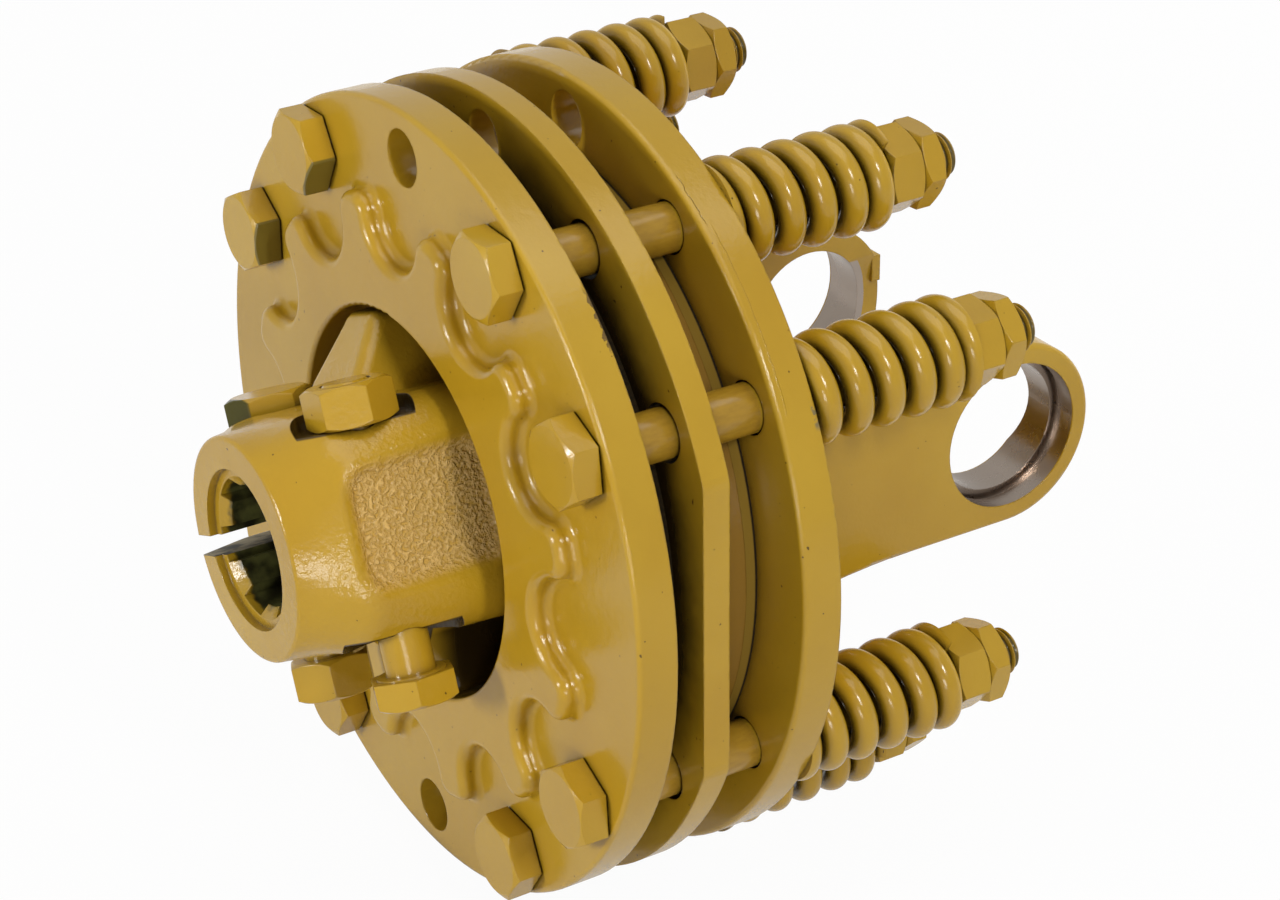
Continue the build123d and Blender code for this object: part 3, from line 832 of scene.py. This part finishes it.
LINING = (("181208", "2A2010"), 0.8, 0.05, 0.8)
olive_mist, brown_mist = (-1.0, 1.6, "4A4518"), (18.9, 33.4, "796022")
dress(plain_finish("lining_with_olive_mist", *LINING, mist=olive_mist), "friction_disc_1")
dress(plain_finish("moulded_lining", *LINING), "friction_disc_2")
misted_lining = plain_finish("lining_with_brown_mist", *LINING, mist=brown_mist)
dress(misted_lining, "friction_disc_3", "friction_disc_4")
dress(plain_finish("scaled_steel", ("1C150A", "2B2212"), 2.0, 0.03, 0.6), "drive_plate")
dress(plain_finish("bearing_bronze", ("A5855A", "B8996B"), 1.0, 0.01, 0.35, 1.0), "centre_bush")

# %% [markdown]
# ## Screw threads
# The bolts' ends stand out of the lock nuts, so their threads show. One pitch of a coarse M12
# thread is a zigzag between the root and the crest. The zigzag is spun once round the bolt and
# moves along by one pitch as it turns, so each turn meets the next and the whole is one helix.
# The tip is turned off to a cone.

# %% Screw threads
BOLT_R = 5.97 * MM
PITCH = 1.75 * MM
ROOT_R = BOLT_R - 0.58 * PITCH
# One pitch of the outline: the share of the pitch along the bolt, and the radius there.
THREAD_OUTLINE = ((0.0, ROOT_R), (0.2, ROOT_R), (0.54, BOLT_R), (0.66, BOLT_R))
THREAD_L = 9.0 * MM
TIP_CONE = 1.1 * MM
SPIN_STEPS = 72
SEAM_GAP, CUT_GAP = 0.01 * MM, 0.02 * MM


def spun_thread(start_x, count):
    """A thread of some pitches from start_x, about the X axis."""
    outline = []
    for k in range(count):
        low_x = start_x + k * PITCH
        outline += [(low_x + share * PITCH, r) for share, r in THREAD_OUTLINE]
    thread = bmesh.new()
    verts = [thread.verts.new((x, 0.0, r)) for x, r in outline]
    edges = [thread.edges.new(pair) for pair in zip(verts, verts[1:])]
    bmesh.ops.spin(
        thread,
        geom=verts + edges,
        cent=(0, 0, 0),
        axis=(1, 0, 0),
        dvec=(PITCH / SPIN_STEPS, 0, 0),
        angle=math.tau,
        steps=SPIN_STEPS,
        use_merge=False,
    )
    bmesh.ops.remove_doubles(thread, verts=thread.verts, dist=SEAM_GAP)
    return thread


def threaded_tip(end_x, centre):
    """A bolt's threaded tip along X that ends at end_x, about an axis through the centre."""
    count = int(THREAD_L / PITCH) + 3
    tip = spun_thread(end_x - (count - 1) * PITCH, count)
    for vert in tip.verts:
        x = min(max(vert.co.x, end_x - THREAD_L), end_x)
        radius = math.hypot(vert.co.y, vert.co.z)
        limit = BOLT_R - max(0.0, x - (end_x - TIP_CONE))
        scale = min(radius, limit) / radius
        vert.co = (x, vert.co.y * scale, vert.co.z * scale)
    bmesh.ops.remove_doubles(tip, verts=tip.verts, dist=CUT_GAP)
    rim = [e for e in tip.edges if e.is_boundary and min(v.co.x for v in e.verts) > end_x - MM]
    bmesh.ops.holes_fill(tip, edges=rim, sides=0)
    bmesh.ops.translate(tip, verts=tip.verts, vec=(0, centre.y, centre.z))
    return tip


print("thread pitch:", PITCH / MM, "mm, depth:", round((BOLT_R - ROOT_R) / MM, 2), "mm")

# %% [markdown]
# ## Paint on the bolts
# The thread's roots are darkened as painted shade, and an attribute of the mesh marks them. In
# the gaps between the plates the shanks are a little darker and streaked. On two heads at the far
# left one flat is darkened to olive as painted shade. Each of those flats is found by the way
# that it faces, in degrees round the bolt from +Y towards +Z.

# %% Paint on the bolts
HEAD_FLAT, HEAD_REACH, HEAD_END_X = 9.5, 12.0, -10.2
# These flats are darkened to olive as painted shade.
SHADED_FLATS = ((8, 208), (7, 182))
# The first and the last of these colours are painted shade, on two head flats and in the roots.
FLAT_PAINTED_SHADE, SHANK_TONE, SHANK_STREAK, ROOT_PAINTED_SHADE = "6A5C24", "A07C24", "927020", "54460F"
SHANK_X = (0.5, 33.5)
THREAD_X = (99.0, 111.8)
BOLT_EDGE = 0.4


def head_flat(tree, place, n, degrees):
    """The mask of one flat of bolt n's head."""
    low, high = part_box(f"clutch_bolt_{n}")
    centre = (low + high) / 2 / MM
    facing = Vector((0.0, math.cos(math.radians(degrees)), math.sin(math.radians(degrees))))
    flat = facing.dot(centre) + HEAD_FLAT
    inputs = {0: place, 1: facing}
    out = add_node(tree, "ShaderNodeVectorMath", inputs, operation="DOT_PRODUCT").outputs["Value"]
    about_bolt = from_axis(tree, place, (0, centre.y, centre.z), ROUND_X)
    return overlap(
        tree,
        band(tree, out, flat - 0.6, None, 0.2),
        band(tree, about_bolt, None, HEAD_REACH, 0.5),
        band(tree, axes(tree, place)[0], None, HEAD_END_X, 0.1),
    )


def bolt_enamel():
    """Enamel on a bolt: painted shade in the thread's roots and on two flats, darker in the gaps.
    """
    material, tree = new_material("enamel_on_threaded_bolt")
    place = position(tree)
    x = axes(tree, place)[0]
    depth = add_node(tree, "ShaderNodeAttribute", attribute_name="thread_root").outputs["Fac"]
    # The thread's roots are darkened as painted shade.
    roots = overlap(tree, band(tree, depth, 0.6, None, 0.25), band(tree, x, *THREAD_X, 0.1))
    shank = band(tree, x, *SHANK_X, 0.5)
    inputs = {"Vector": place, "Scale": (0.3, 0.8, 0.8)}
    drawn_out = add_node(tree, "ShaderNodeMapping", inputs).outputs[0]
    streaks = overlap(tree, shank, band(tree, grain(tree, drawn_out, 1.0, 2.0), 0.5, None, 0.3))
    tints = [(shank, SHANK_TONE), (streaks, SHANK_STREAK), (roots, ROOT_PAINTED_SHADE)]
    # One flat on each of two heads is darkened to olive as painted shade.
    tints += [(head_flat(tree, place, n, degrees), FLAT_PAINTED_SHADE) for n, degrees in SHADED_FLATS]
    finish(tree, ochre_paint(tree, place, [], BOLT_EDGE, tints))
    return material


bolt_material = bolt_enamel()
# The flats counted here are darkened as painted shade.
print("flats that the spray missed:", len(SHADED_FLATS))

# %% [markdown]
# ## Threaded bolts
# The rest of each bolt is a copy of its CAD mesh. The CAD mesh is loose triangles, so the copy is
# merged first, and then cut off inside the lock nut, where the thread takes over. The new bolt
# stands in for the CAD bolt and turns with the yoke's side. The attribute that the paint reads is
# 1 in the thread's roots and 0 on its crests.

# %% Threaded bolts
CAD_GAP = 0.001 * MM
SHARP_ANGLE = math.radians(25)


def cut_copy(node, cut_x):
    """A merged copy of a CAD mesh without what lies beyond cut_x."""
    piece = bmesh.new()
    piece.from_mesh(node.data)
    bmesh.ops.remove_doubles(piece, verts=piece.verts, dist=CAD_GAP)
    geometry = piece.verts[:] + piece.edges[:] + piece.faces[:]
    bmesh.ops.bisect_plane(
        piece, geom=geometry, plane_co=(cut_x, 0, 0), plane_no=(1, 0, 0), clear_outer=True
    )
    return piece


def mark_roots(piece, centre, start_x):
    """Stores how deep each point beyond start_x lies in the thread, from crest 0 to root 1."""
    layer = piece.verts.layers.float.new("thread_root")
    for vert in piece.verts:
        if vert.co.x > start_x:
            depth = BOLT_R - math.hypot(vert.co.y - centre.y, vert.co.z - centre.z)
            vert[layer] = min(1.0, max(0.0, depth / (BOLT_R - ROOT_R)))


def threaded_bolt(node_name):
    """A bolt from its CAD node, with a modelled thread at its end."""
    low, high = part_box(node_name)
    centre = (low + high) / 2
    piece = cut_copy(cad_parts[node_name], high.x - THREAD_L)
    tip = threaded_tip(high.x, centre)
    tip_data = bpy.data.meshes.new("thread")
    tip.to_mesh(tip_data)
    tip.free()
    piece.from_mesh(tip_data)
    bpy.data.meshes.remove(tip_data)
    bmesh.ops.recalc_face_normals(piece, faces=piece.faces)
    mark_roots(piece, centre, high.x - THREAD_L)
    for face in piece.faces:
        face.smooth = True
    for edge in piece.edges:
        if len(edge.link_faces) == 2 and edge.calc_face_angle() > SHARP_ANGLE:
            edge.smooth = False
    data = bpy.data.meshes.new(node_name + "_threaded")
    piece.to_mesh(data)
    piece.free()
    data.materials.append(bolt_material)
    bolt = bpy.data.objects.new(node_name + "_threaded", data)
    scene.collection.objects.link(bolt)
    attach(bolt, "yoke_side")
    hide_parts(node_name)
    return bolt


bolts = [threaded_bolt(f"clutch_bolt_{n}") for n in range(1, 9)]
print("threaded bolts:", len(bolts), "faces each:", len(bolts[0].data.polygons))
